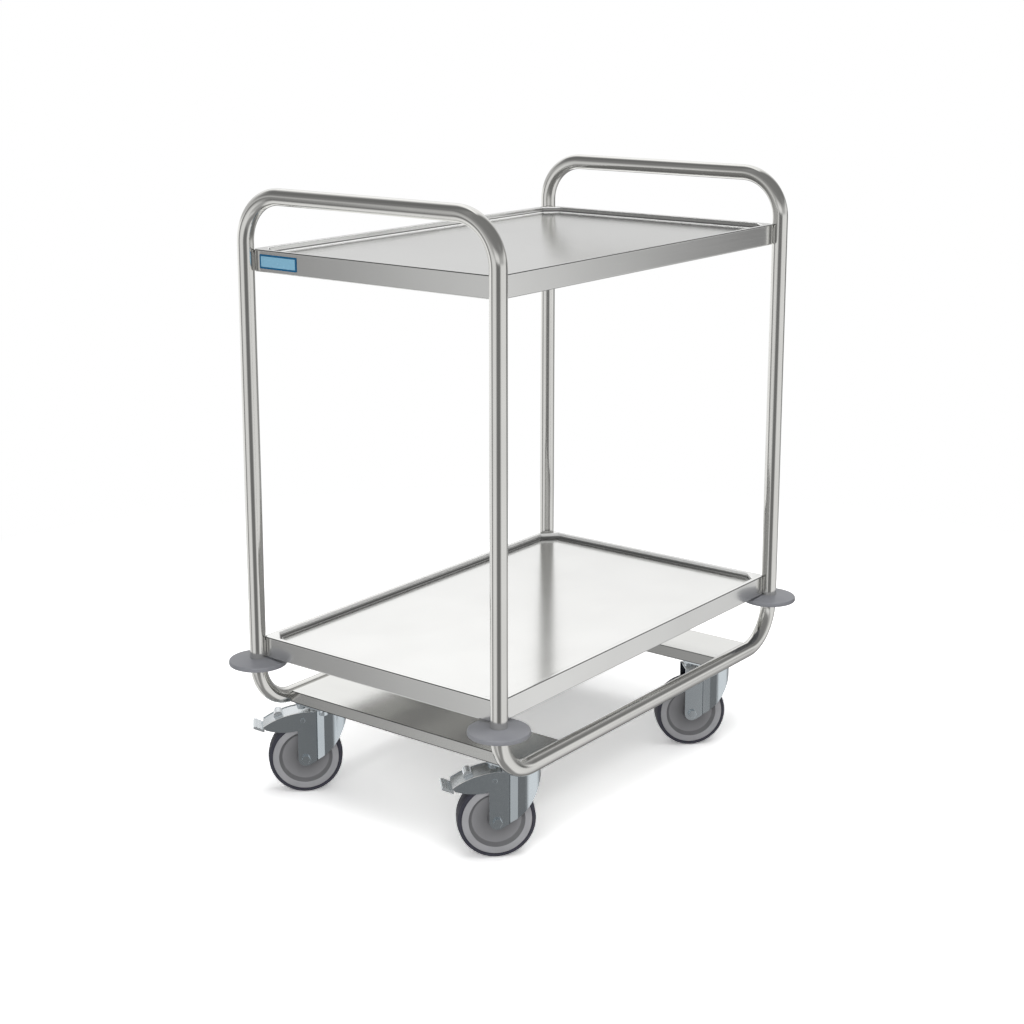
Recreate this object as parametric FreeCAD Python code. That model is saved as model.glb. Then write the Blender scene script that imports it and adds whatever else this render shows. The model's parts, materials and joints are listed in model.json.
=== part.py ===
import FreeCAD, Part
import math
import os

# Two-shelf serving cart: bent tube frame, two folded tray shelves, four swivel casters, two of them braked.
# Millimetres. The origin is on the floor under the middle of the cart, +X runs along the cart towards the
# end without brakes, +Y is the left side seen from the braked end, and +Z is up.

# Driving dimensions of the bent tube frame
post_spacing_length = 800.0
post_spacing_width = 500.0
tube_diameter = 26.9
tube_wall = 1.5
bend_radius = 75.0
handle_axis_height = 1015.5

# Driving dimensions of the folded shelves
handle_above_rim = 85.5
skirt_height = 35.0
shelf_sheet = 1.2
post_axis_to_skirt = 5.2
rim_width = 9.0
rim_bend = 2.0
tray_depth = 10.0
tray_bend = 5.0
tray_corner_cut = 24.0
skirt_lip = 12.0

# Driving dimensions of the hat section under each deck
hat_width = 60.0
hat_depth = 14.0
hat_flange = 15.0
hat_end_gap = 40.0

# Driving dimensions of the weld beads at the shelf corners
bead_radius = 1.6
bead_end_gap = 3.0

# Driving dimensions of the bumper discs
bumper_diameter = 96.0
bumper_height = 11.0
bumper_edge_height = 7.5
bumper_edge_radius = 2.0
bumper_above_bend = 0.3
shelf_above_bumper = 0.4

# Driving dimensions of the caster channels
channel_width = 100.0
channel_height = 20.0
channel_sheet = 2.0
channel_slot = 40.0
channel_top_above_rail_axis = 9.0

# Driving dimensions of the blue plate on the front skirt
label_width = 78.7
label_height = 22.5
label_thickness = 0.8
label_corner = 1.5
label_below_rim = 6.5
label_from_corner = 20.3

# Driving dimensions of the casters
caster_axis_from_post_x = 116.0
caster_turn_degrees = -45.0
caster_trail = 40.3
plate_length = 97.0
plate_width = 70.0
plate_thickness = 3.5
plate_corner = 8.0
plate_rail_gap = 2.1
bolt_spacing_width = 50.0

# Driving dimensions of the caster bolts
bolt_diameter = 8.0
bolt_head_flats = 13.0
bolt_head_height = 5.3
bolt_head_to_wall = 0.5
washer_diameter = 16.0
washer_thickness = 1.6
nut_height = 6.0
bolt_end = 1.0

# Driving dimensions of the swivel head
race_diameter = 44.0
ball_diameter = 6.0
ball_count = 16
race_ring_width = 10.0
race_ring_gap = 3.1
race_floor = 2.75
race_cup_wall = 2.0
race_cup_gap = 1.2
kingpin_diameter = 12.0
kingpin_head_diameter = 20.0
kingpin_head_height = 3.0

# Driving dimensions of the fork, with distances along the caster's roll direction counted from the axle
fork_above_wheel = 20.0
fork_sheet = 2.5
fork_leg_outer = 23.0
fork_groove_depth = 2.2
fork_groove_width = 1.6
fork_facet_rise = 2.1
fork_shoulder_rise = 3.4
fork_strip_lead = 18.5
fork_facet_lead = 31.5
fork_round_lead = 43.0
fork_nose_lead = 70.5
fork_leg_trail = 13.0
fork_edge_nose_drop = 14.0
fork_edge_middle_lead = 42.0
fork_edge_middle_drop = 67.0
fork_edge_foot_lead = 5.9
fork_edge_foot_drop = 94.1
braked_crown_edge_lead = 8.0
plain_crown_edge_lead = -11.0

# Driving dimensions of the wings on a braked fork, counted back from the axle and down from the fork's top
wing_start_lead = 10.0
wing_middle_trail = 34.3
wing_middle_drop = 6.0
wing_tip_trail = 70.0
wing_tip_drop = 23.0
wing_heel_trail = 66.0
wing_heel_drop = 28.5
wing_belly_trail = 38.0
wing_belly_drop = 34.0
wing_root_drop = 32.5

# Driving dimensions of the wheel
wheel_diameter = 125.0
tyre_width = 32.0
tyre_thickness = 7.0
tyre_crown_drop = 2.6
tyre_shoulder_width = 21.0
rim_recess = 6.5
rim_ring_thickness = 10.5
rim_wall_run = 4.5
rim_dish = 2.5
hub_draft = 2.0
rim_edge_radius = 1.0
hub_diameter = 26.0
hub_side_gap = 0.9
bush_wall = 2.5
bush_flange_diameter = 24.0
bush_flange_thickness = 1.6
sleeve_wall = 2.5
axle_diameter = 8.0
axle_head_flats = 13.0
axle_head_height = 5.3
axle_nut_height = 6.5
axle_end = 2.0

# Driving dimensions of the brake pedal, counted from the axle and the fork's top like the wings
pedal_sheet = 2.2
pedal_sunk = 1.0
pedal_front_lead = 7.0
pedal_side_gap = 0.8
pedal_pin_trail = 4.0
pedal_pin_drop = 14.0
pedal_pin_diameter = 6.0
pedal_pin_head_diameter = 7.6
pedal_pin_head_height = 1.6
pedal_ear_radius = 6.0
pedal_hump_trail = 43.5
pedal_hump_length = 13.0
pedal_hump_height = 10.0
pedal_hump_inset = 8.0
pedal_lip_length = 16.5
pedal_lip_thickness = 4.5
pedal_lip_drop = 2.5
pedal_lip_rise_degrees = 26.0
pedal_rib_count = 2
pedal_rib_height = 1.2
pedal_rib_width = 2.4
shoe_front_trail = 12.0
shoe_length = 13.0
shoe_width = 24.0
shoe_gap = 3.95

# Clearances
weld_gap = 0.05
press_gap = 0.05
running_gap = 0.06
bolt_gap = 0.4
ball_gap = 0.35
kingpin_head_gap = 0.3

# Sizes that follow from the driving dimensions
tube_radius = tube_diameter / 2
half_length = post_spacing_length / 2
half_width = post_spacing_width / 2
shelf_half_length = half_length - post_axis_to_skirt
shelf_half_width = half_width - post_axis_to_skirt
post_corner_cut = math.sqrt(2) * (tube_radius + weld_gap) - 2 * post_axis_to_skirt
race_radius = race_diameter / 2
swivel_head_height = ball_diameter + 2 * race_floor
race_ring_height = (swivel_head_height - race_ring_gap) / 2
fork_top_height = wheel_diameter + fork_above_wheel
ball_height = fork_top_height + swivel_head_height / 2
plate_bottom = fork_top_height + swivel_head_height
plate_top = plate_bottom + plate_thickness
channel_bottom = plate_top
channel_top = channel_bottom + channel_height
rail_axis_height = channel_top - channel_top_above_rail_axis
plate_edge_to_rail_axis = math.sqrt((tube_radius + plate_rail_gap) ** 2 - (rail_axis_height - plate_top) ** 2)
caster_axis_x = half_length - caster_axis_from_post_x
caster_axis_y = half_width - plate_edge_to_rail_axis - plate_width / 2
bolt_head_reach = bolt_head_flats / math.sqrt(3)
bolt_spacing_length = channel_width - 2 * (channel_sheet + bolt_head_to_wall + bolt_head_reach)
bumper_bottom = rail_axis_height + bend_radius + bumper_above_bend
bumper_top = bumper_bottom + bumper_height
lower_rim_height = bumper_top + shelf_above_bumper + skirt_height
top_rim_height = handle_axis_height - handle_above_rim
wheel_radius = wheel_diameter / 2
rim_radius = wheel_radius - tyre_thickness - press_gap
fork_leg_inner = fork_leg_outer - fork_sheet
hub_half_length = fork_leg_inner - bush_flange_thickness - hub_side_gap
axle_radius = axle_diameter / 2
sleeve_bore = axle_radius + press_gap
sleeve_radius = sleeve_bore + sleeve_wall
bush_bore = sleeve_radius + running_gap
bush_radius = bush_bore + bush_wall
pedal_half_width = fork_leg_inner - pedal_side_gap
pedal_pin_height = fork_top_height - pedal_pin_drop

ends = {"front": -1, "rear": 1}
sides = {"left": 1, "right": -1}
corners = [(end, side) for end in ends for side in sides]
braked_end = "front"

up = FreeCAD.Vector(0, 0, 1)
along = FreeCAD.Vector(1, 0, 0)
across = FreeCAD.Vector(0, 1, 0)


def point(x, y, z):
    return FreeCAD.Vector(x, y, z)


def line(start, end):
    return Part.LineSegment(start, end).toShape()


def arc(start, middle, end):
    return Part.Arc(start, middle, end).toShape()


def filled(edges):
    return Part.Face(Part.Wire(edges))


def filled_polygon(points):
    return Part.Face(Part.makePolygon(points + [points[0]]))


def cylinder(radius, low, high, x=0.0, y=0.0):
    return Part.makeCylinder(radius, high - low, point(x, y, low), up)


def ring(outer_radius, inner_radius, low, high):
    return cylinder(outer_radius, low, high).cut(cylinder(inner_radius, low, high))


def cross_cylinder(radius, lead, height, low, high):
    """A cylinder across the caster, parallel to its axle."""
    return Part.makeCylinder(radius, high - low, point(lead, low, height), across)


def hexagon_across(flats, lead, height, low, high):
    """A hexagonal prism across the caster, as a bolt head or nut on the axle."""
    reach = flats / math.sqrt(3)
    turns = [math.radians(60 * step) for step in range(6)]
    outline = [point(lead + reach * math.cos(t), low, height + reach * math.sin(t)) for t in turns]
    return filled_polygon(outline).extrude(across * (high - low))


def hexagon_upright(flats, x, y, low, high):
    reach = flats / math.sqrt(3)
    turns = [math.radians(60 * step) for step in range(6)]
    outline = [point(x + reach * math.cos(t), y + reach * math.sin(t), low) for t in turns]
    return filled_polygon(outline).extrude(up * (high - low))


def fused(shapes):
    return shapes[0].multiFuse(shapes[1:]).removeSplitter()


def save(name, shape):
    shape.exportStep("parts/" + name + ".step")


# Bent tube frame

def rounded_path(points, radius):
    """Straight runs through the points, joined by tangent arcs of one radius."""
    edges = []
    start = points[0]
    for before, corner, after in zip(points, points[1:], points[2:]):
        to_before = (before - corner).normalize()
        to_after = (after - corner).normalize()
        half_angle = to_before.getAngle(to_after) / 2
        reach = radius / math.tan(half_angle)
        middle_ray = (to_before + to_after).normalize()
        middle = corner + middle_ray * (radius / math.sin(half_angle) - radius)
        bend_start = corner + to_before * reach
        bend_end = corner + to_after * reach
        edges.append(line(start, bend_start))
        edges.append(arc(bend_start, middle, bend_end))
        start = bend_end
    edges.append(line(start, points[-1]))
    return Part.Wire(edges)


def frame_bar(end, radius):
    """A solid round bar along the axis of one frame half: rail, post, handle, post, rail."""
    x = ends[end] * half_length
    points = [
        point(0, half_width, rail_axis_height),
        point(x, half_width, rail_axis_height),
        point(x, half_width, handle_axis_height),
        point(x, -half_width, handle_axis_height),
        point(x, -half_width, rail_axis_height),
        point(0, -half_width, rail_axis_height),
    ]
    section = Part.Wire(Part.makeCircle(radius, points[0], along))
    return rounded_path(points, bend_radius).makePipeShell([section], True, False)


def frame_half(end):
    return frame_bar(end, tube_radius).cut(frame_bar(end, tube_radius - tube_wall))


# Folded shelves

def cut_corner_block(half_x, half_y, cut, low, high):
    """A flat block whose four upright edges are cut off at 45 degrees."""
    quarter = [(half_x, half_y - cut), (half_x - cut, half_y)]
    outline = [(x, y) for x, y in quarter]
    outline += [(-x, y) for x, y in reversed(quarter)]
    outline += [(-x, -y) for x, y in quarter]
    outline += [(x, -y) for x, y in reversed(quarter)]
    return filled_polygon([point(x, y, low) for x, y in outline]).extrude(up * (high - low))


def cut_after_offset(cut, outward):
    """The corner cut of an outline whose every side has moved outward by one distance."""
    return cut + outward * (2 - math.sqrt(2))


def rounded_level(block, height, radius):
    """Rounds the edges of a block that lie at one height."""
    level = [edge for edge in block.Edges if all(abs(v.Z - height) < weld_gap for v in edge.Vertexes)]
    return block.makeFillet(radius, level)


def shelf(rim_height):
    low = rim_height - skirt_height
    deck = rim_height - tray_depth
    tray_half_x = shelf_half_length - rim_width
    tray_half_y = shelf_half_width - rim_width
    outside = cut_corner_block(shelf_half_length, shelf_half_width, post_corner_cut, low, rim_height)
    outside = rounded_level(outside, rim_height, rim_bend)
    inside = cut_corner_block(
        shelf_half_length - shelf_sheet, shelf_half_width - shelf_sheet,
        cut_after_offset(post_corner_cut, -shelf_sheet), low + shelf_sheet, rim_height - shelf_sheet)
    tray = cut_corner_block(tray_half_x, tray_half_y, tray_corner_cut, deck, rim_height)
    tray = rounded_level(tray, deck, tray_bend)
    tray_back = cut_corner_block(
        tray_half_x + shelf_sheet, tray_half_y + shelf_sheet,
        cut_after_offset(tray_corner_cut, shelf_sheet), deck - shelf_sheet, rim_height)
    tray_back = rounded_level(tray_back, deck - shelf_sheet, tray_bend + shelf_sheet)
    mouth = cut_corner_block(
        shelf_half_length - skirt_lip, shelf_half_width - skirt_lip,
        tray_corner_cut, low, low + shelf_sheet)
    return outside.cut(tray).cut(inside.cut(tray_back)).cut(mouth)


def hat_section(rim_height):
    """A hat-shaped stiffener along the middle of a deck's underside."""
    top = rim_height - tray_depth - shelf_sheet - weld_gap
    low = top - hat_depth
    outer = hat_width / 2
    brim = outer + hat_flange
    half_run = shelf_half_length - rim_width - shelf_sheet - tray_corner_cut - hat_end_gap
    right_half = [
        (brim, top), (brim, top - shelf_sheet), (outer, top - shelf_sheet), (outer, low),
    ]
    left_half = [(-y, z) for y, z in reversed(right_half)]
    hollow = [
        (-outer + shelf_sheet, top), (-outer + shelf_sheet, low + shelf_sheet),
        (outer - shelf_sheet, low + shelf_sheet), (outer - shelf_sheet, top),
    ]
    outline = [point(-half_run, y, z) for y, z in right_half + left_half + hollow]
    return filled_polygon(outline).extrude(along * (2 * half_run))


def corner_beads(rim_height):
    """Two weld beads in the wedges between a post and each cut corner of a shelf."""
    beads = []
    low = rim_height - skirt_height + bead_end_gap
    high = rim_height - rim_bend - bead_end_gap
    face_distance = tube_radius + weld_gap
    half_face = post_corner_cut / math.sqrt(2) - bead_radius / 2
    for end, side in corners:
        inward = point(-ends[end], -sides[side], 0).normalize()
        sideways = up.cross(inward)
        post = point(ends[end] * half_length, sides[side] * half_width, 0)
        for turn in (-1, 1):
            seat = post + inward * face_distance + sideways * (turn * half_face)
            bead = cylinder(bead_radius, low, high, seat.x, seat.y)
            bead = bead.cut(cylinder(tube_radius + weld_gap, low, high, post.x, post.y))
            beads.append(bead.cut(shelf_corner_keepout(post, inward, low, high)))
    return beads


def shelf_corner_keepout(post, inward, low, high):
    """The space behind a shelf's cut corner face, with the weld gap in front of it."""
    reach = 4 * bead_radius + tube_diameter
    sideways = up.cross(inward)
    face = post + inward * tube_radius
    outline = [
        face + sideways * reach, face - sideways * reach,
        face - sideways * reach + inward * reach, face + sideways * reach + inward * reach,
    ]
    base = filled_polygon([point(p.x, p.y, low) for p in outline])
    return base.extrude(up * (high - low))


# Bumper discs

def bumper(x, y):
    """A disc round a post with a coned top, between the frame's bend and the lower shelf's skirt."""
    bore = tube_radius + press_gap
    rim = bumper_diameter / 2
    shoulder = rim - bumper_edge_radius
    edge_top = bumper_bottom + bumper_edge_height
    edge_middle = bumper_bottom + bumper_edge_height / 2
    profile = filled([
        line(point(bore, 0, bumper_bottom), point(shoulder, 0, bumper_bottom)),
        arc(point(shoulder, 0, bumper_bottom), point(rim, 0, edge_middle), point(shoulder, 0, edge_top)),
        line(point(shoulder, 0, edge_top), point(bore, 0, bumper_top)),
        line(point(bore, 0, bumper_top), point(bore, 0, bumper_bottom)),
    ])
    disc = profile.revolve(point(0, 0, 0), up, 360)
    disc.translate(point(x, y, 0))
    return disc


# Caster channels

def bolt_places(end, side):
    """The four bolts of one caster plate, as x and y."""
    x, y = caster_axis(end, side)
    half_x = bolt_spacing_length / 2
    half_y = bolt_spacing_width / 2
    return [(x + i * half_x, y + j * half_y) for i in (-1, 1) for j in (-1, 1)]


def channel(end):
    """A folded channel, open below along its middle, let in between the two rails."""
    middle = ends[end] * caster_axis_x
    low_x = middle - channel_width / 2
    outside = Part.makeBox(channel_width, 2 * half_width, channel_height,
                           point(low_x, -half_width, channel_bottom))
    hollow = Part.makeBox(channel_width - 2 * channel_sheet, 2 * half_width,
                          channel_height - 2 * channel_sheet,
                          point(low_x + channel_sheet, -half_width, channel_bottom + channel_sheet))
    slot = Part.makeBox(channel_slot, 2 * half_width, channel_sheet,
                        point(middle - channel_slot / 2, -half_width, channel_bottom))
    body = outside.cut(hollow).cut(slot).cut(frame_bar(end, tube_radius + weld_gap))
    for side in sides:
        for x, y in bolt_places(end, side):
            body = body.cut(cylinder(bolt_diameter / 2 + bolt_gap, channel_bottom,
                                     channel_bottom + channel_sheet, x, y))
    return body


# Blue plate

def label_plate():
    """A thin bare plate on the front skirt of the top shelf, near its left corner."""
    top = top_rim_height - label_below_rim
    left = shelf_half_width - label_from_corner
    face_x = -shelf_half_length - weld_gap
    plate = Part.makeBox(label_thickness, label_width, label_height,
                         point(face_x - label_thickness, left - label_width, top - label_height))
    upright = [edge for edge in plate.Edges if abs(edge.tangentAt(edge.FirstParameter).x) > 0.5]
    return plate.makeFillet(label_corner, upright)


# Fixed half of a caster

def caster_axis(end, side):
    return ends[end] * caster_axis_x, sides[side] * caster_axis_y


def caster_plate():
    """The bolted top plate with the upper ball race pressed into its underside."""
    plate = Part.makeBox(plate_length, plate_width, plate_thickness,
                         point(-plate_length / 2, -plate_width / 2, plate_bottom))
    upright = [edge for edge in plate.Edges if abs(edge.tangentAt(edge.FirstParameter).z) > 0.5]
    plate = plate.makeFillet(plate_corner, upright)
    ring_outer = race_radius + race_ring_width / 2
    cup_inner = ring_outer + race_cup_gap
    cup_low = fork_top_height + race_cup_gap
    upper_race = ring(ring_outer, race_radius - race_ring_width / 2,
                      plate_bottom - race_ring_height, plate_bottom)
    cup = ring(cup_inner + race_cup_wall, cup_inner, cup_low, plate_bottom)
    body = fused([plate, upper_race, cup])
    body = body.cut(ball_groove())
    body = body.cut(cylinder(kingpin_diameter / 2 + press_gap, plate_bottom, plate_top))
    for x in (-bolt_spacing_length / 2, bolt_spacing_length / 2):
        for y in (-bolt_spacing_width / 2, bolt_spacing_width / 2):
            body = body.cut(cylinder(bolt_diameter / 2 + bolt_gap, plate_bottom, plate_top, x, y))
    return body


def ball_groove():
    return Part.makeTorus(race_radius, ball_diameter / 2 + ball_gap, point(0, 0, ball_height), up)


def kingpin():
    """A riveted pin from the plate's top to under the fork's crown."""
    crown_bottom = fork_top_height - fork_sheet
    foot_top = crown_bottom - kingpin_head_gap
    shaft = cylinder(kingpin_diameter / 2, foot_top, plate_top)
    head = cylinder(kingpin_head_diameter / 2, plate_top, plate_top + kingpin_head_height)
    foot = cylinder(kingpin_head_diameter / 2, foot_top - kingpin_head_height, foot_top)
    return fused([shaft, head, foot])


def caster_bolt(x, y):
    seat = channel_bottom + channel_sheet
    tip = plate_bottom - washer_thickness - nut_height - bolt_end
    shank = cylinder(bolt_diameter / 2, tip, seat, x, y)
    head = hexagon_upright(bolt_head_flats, x, y, seat, seat + bolt_head_height)
    return fused([shank, head])


def caster_washer(x, y):
    low = plate_bottom - washer_thickness
    disc = cylinder(washer_diameter / 2, low, plate_bottom, x, y)
    return disc.cut(cylinder(bolt_diameter / 2 + press_gap, low, plate_bottom, x, y))


def caster_nut(x, y):
    high = plate_bottom - washer_thickness
    nut = hexagon_upright(bolt_head_flats, x, y, high - nut_height, high)
    return nut.cut(cylinder(bolt_diameter / 2 + press_gap, high - nut_height, high, x, y))


# Turning half of a caster, modelled with the axle on the Y axis and the leading side towards +X

def fork_plan(inset, trail_end):
    """The fork seen from above: flat leg strips, a pressed groove, two slanted facets and a round nose."""
    strip = fork_leg_outer - inset
    groove = strip - fork_groove_depth
    facet = strip + fork_facet_rise
    shoulder = strip + fork_shoulder_rise
    nose = fork_nose_lead - inset
    groove_lead = fork_strip_lead + fork_groove_width
    half = [
        point(-trail_end, strip, 0), point(fork_strip_lead, strip, 0), point(groove_lead, groove, 0),
        point(fork_facet_lead, facet, 0), point(fork_round_lead, shoulder, 0),
    ]
    other = [point(p.x, -p.y, 0) for p in reversed(half)]
    edges = [line(a, b) for a, b in zip(half, half[1:])]
    edges.append(arc(half[-1], point(nose, 0, 0), other[0]))
    edges += [line(a, b) for a, b in zip(other, other[1:])]
    edges.append(line(other[-1], half[0]))
    return filled(edges)


def fork_drop(lead, drop):
    """A point of the fork's side view, counted down from the fork's top."""
    return point(lead, 0, fork_top_height - drop)


def fork_leading_edge():
    """The swept lower edge, from under the nose down to the foot round the axle."""
    return arc(fork_drop(fork_nose_lead, fork_edge_nose_drop),
               fork_drop(fork_edge_middle_lead, fork_edge_middle_drop),
               fork_drop(fork_edge_foot_lead, fork_edge_foot_drop))


def wing_top_edge():
    return arc(fork_drop(wing_start_lead, 0),
               fork_drop(-wing_middle_trail, wing_middle_drop),
               fork_drop(-wing_tip_trail, wing_tip_drop))


def fork_side(braked):
    """The fork seen from its side, as a face in the plane of the wheel."""
    nose_top = fork_drop(fork_nose_lead, 0)
    nose_low = fork_drop(fork_nose_lead, fork_edge_nose_drop)
    foot_front = fork_drop(fork_edge_foot_lead, fork_edge_foot_drop)
    foot_back = point(-fork_leg_trail, 0, wheel_radius)
    edges = [line(nose_top, nose_low), fork_leading_edge(), line(foot_front, foot_back)]
    if braked:
        root = fork_drop(-fork_leg_trail, wing_root_drop)
        heel = fork_drop(-wing_heel_trail, wing_heel_drop)
        belly = fork_drop(-wing_belly_trail, wing_belly_drop)
        edges.append(line(foot_back, root))
        edges.append(arc(root, belly, heel))
        edges.append(line(heel, fork_drop(-wing_tip_trail, wing_tip_drop)))
        edges.append(wing_top_edge())
        edges.append(line(fork_drop(wing_start_lead, 0), nose_top))
    else:
        shoulder = fork_drop(-fork_leg_trail, 0)
        edges.append(line(foot_back, shoulder))
        edges.append(line(shoulder, nose_top))
    return Part.Face(Part.Wire(Part.__sortEdges__(edges)))


def fork(braked):
    trail_end = wing_tip_trail + fork_sheet if braked else fork_leg_trail + fork_sheet
    crown_edge_lead = braked_crown_edge_lead if braked else plain_crown_edge_lead
    crown_bottom = fork_top_height - fork_sheet
    outside = fork_plan(0, trail_end).extrude(up * fork_top_height)
    inside = fork_plan(fork_sheet, trail_end + fork_sheet).extrude(up * crown_bottom)
    behind_crown = Part.makeBox(
        trail_end + fork_sheet + crown_edge_lead, 2 * fork_leg_inner, fork_top_height,
        point(-trail_end - fork_sheet, -fork_leg_inner, 0))
    shell = outside.cut(inside).cut(behind_crown)
    side_face = fork_side(braked)
    half_width = fork_leg_outer + fork_shoulder_rise
    side_face.translate(point(0, -half_width, 0))
    silhouette = side_face.extrude(across * (2 * half_width))
    foot = cross_cylinder(fork_leg_trail, 0, wheel_radius, -fork_leg_outer, fork_leg_outer)
    body = shell.common(fused([silhouette, foot]))
    lower_race = ring(race_radius + race_ring_width / 2, race_radius - race_ring_width / 2,
                      fork_top_height, fork_top_height + race_ring_height)
    lower_race = lower_race.cut(ball_groove())
    lower_race.translate(point(caster_trail, 0, 0))
    body = fused([body, lower_race])
    body = body.cut(cylinder(kingpin_diameter / 2 + running_gap, crown_bottom, fork_top_height, caster_trail))
    body = body.cut(cross_cylinder(axle_radius + press_gap, 0, wheel_radius, -fork_leg_outer, fork_leg_outer))
    if braked:
        body = body.cut(cross_cylinder(pedal_pin_diameter / 2 + press_gap, -pedal_pin_trail,
                                       pedal_pin_height, -fork_leg_outer, fork_leg_outer))
    return body


def swivel_balls():
    balls = []
    for step in range(ball_count):
        turn = 2 * math.pi * step / ball_count
        centre = point(caster_trail + race_radius * math.cos(turn), race_radius * math.sin(turn), ball_height)
        balls.append(Part.makeSphere(ball_diameter / 2, centre))
    return Part.makeCompound(balls)


def axle():
    """The hexagon bolt through the fork's legs, and its nut, as two solids."""
    head_face = -fork_leg_outer
    nut_face = fork_leg_outer
    shank = cross_cylinder(axle_radius, 0, wheel_radius, head_face, nut_face + axle_nut_height + axle_end)
    head = hexagon_across(axle_head_flats, 0, wheel_radius, head_face - axle_head_height, head_face)
    nut = hexagon_across(axle_head_flats, 0, wheel_radius, nut_face, nut_face + axle_nut_height)
    bore = cross_cylinder(axle_radius + press_gap, 0, wheel_radius, nut_face, nut_face + axle_nut_height)
    return Part.makeCompound([fused([shank, head]), nut.cut(bore)])


def sleeve():
    half = fork_leg_inner - press_gap
    outside = cross_cylinder(sleeve_radius, 0, wheel_radius, -half, half)
    return outside.cut(cross_cylinder(sleeve_bore, 0, wheel_radius, -half, half))


def turned_on_axle(profile):
    """Revolves a face in the plane of x and y, x being the radius, about the axle."""
    body = profile.revolve(point(0, 0, 0), across, 360)
    body.translate(point(0, 0, wheel_radius))
    return body


def rim():
    """The moulded wheel centre: hub, dished disc and the outer ring that carries the tread."""
    ring_half = tyre_width / 2
    disc_half = ring_half - rim_recess
    hub_radius = hub_diameter / 2
    ring_inner = rim_radius - rim_ring_thickness
    bore = bush_radius + press_gap
    half = [
        point(bore, hub_half_length, 0), point(hub_radius, hub_half_length, 0),
        point(hub_radius + hub_draft, disc_half - rim_dish, 0),
        point(ring_inner - rim_wall_run, disc_half, 0),
        point(ring_inner, ring_half, 0), point(rim_radius, ring_half, 0),
    ]
    other = [point(p.x, -p.y, 0) for p in reversed(half)]
    body = turned_on_axle(filled_polygon(half + other))
    lip_radius = (ring_inner, rim_radius)
    edges = [edge for edge in body.Edges if is_ring_edge(edge, lip_radius, ring_half)]
    return body.makeFillet(rim_edge_radius, edges)


def is_ring_edge(edge, radii, half_width_of_ring):
    """True for the round edges at one of the radii, on the two side faces of the wheel."""
    if not hasattr(edge.Curve, "Radius"):
        return False
    on_radius = any(abs(edge.Curve.Radius - radius) < press_gap for radius in radii)
    return on_radius and abs(abs(edge.Curve.Center.y) - half_width_of_ring) < press_gap


def tyre():
    """The tread band: straight flanks, and a crowned running surface."""
    flank = tyre_width / 2
    seat = rim_radius + press_gap
    shoulder = tyre_shoulder_width / 2
    shoulder_radius = wheel_radius - tyre_crown_drop
    middle_flank = (seat + shoulder_radius) / 2
    profile = filled([
        line(point(seat, -flank, 0), point(middle_flank, -flank, 0)),
        line(point(middle_flank, -flank, 0), point(shoulder_radius, -shoulder, 0)),
        arc(point(shoulder_radius, -shoulder, 0), point(wheel_radius, 0, 0),
            point(shoulder_radius, shoulder, 0)),
        line(point(shoulder_radius, shoulder, 0), point(middle_flank, flank, 0)),
        line(point(middle_flank, flank, 0), point(seat, flank, 0)),
        line(point(seat, flank, 0), point(seat, -flank, 0)),
    ])
    return turned_on_axle(profile)


def bushes():
    """Two flanged plain bearings, one pressed into each end of the hub."""
    flange_radius = bush_flange_diameter / 2
    flange_seat = hub_half_length + press_gap
    flange_face = hub_half_length + bush_flange_thickness
    inner_end = press_gap
    pair = []
    for turn in (-1, 1):
        outline = [
            (bush_bore, inner_end), (bush_radius, inner_end), (bush_radius, flange_seat),
            (flange_radius, flange_seat), (flange_radius, flange_face), (bush_bore, flange_face),
        ]
        pair.append(turned_on_axle(filled_polygon([point(x, turn * y, 0) for x, y in outline])))
    return Part.makeCompound(pair)


# Brake

def pedal_strip_radii():
    """Centre of the wings' top curve, and the radii of the pedal's upper and lower faces on it."""
    curve = wing_top_edge().Curve
    upper = curve.Radius - pedal_sunk
    return curve.Center, upper, upper - pedal_sheet


def on_curve(centre, radius, lead):
    """The upper point of a circle at one lead."""
    return point(lead, 0, centre.z + math.sqrt(radius ** 2 - (lead - centre.x) ** 2))


def across_pedal(profile, half):
    body = profile.copy()
    body.translate(point(0, -half, 0))
    return body.extrude(across * (2 * half))


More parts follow.
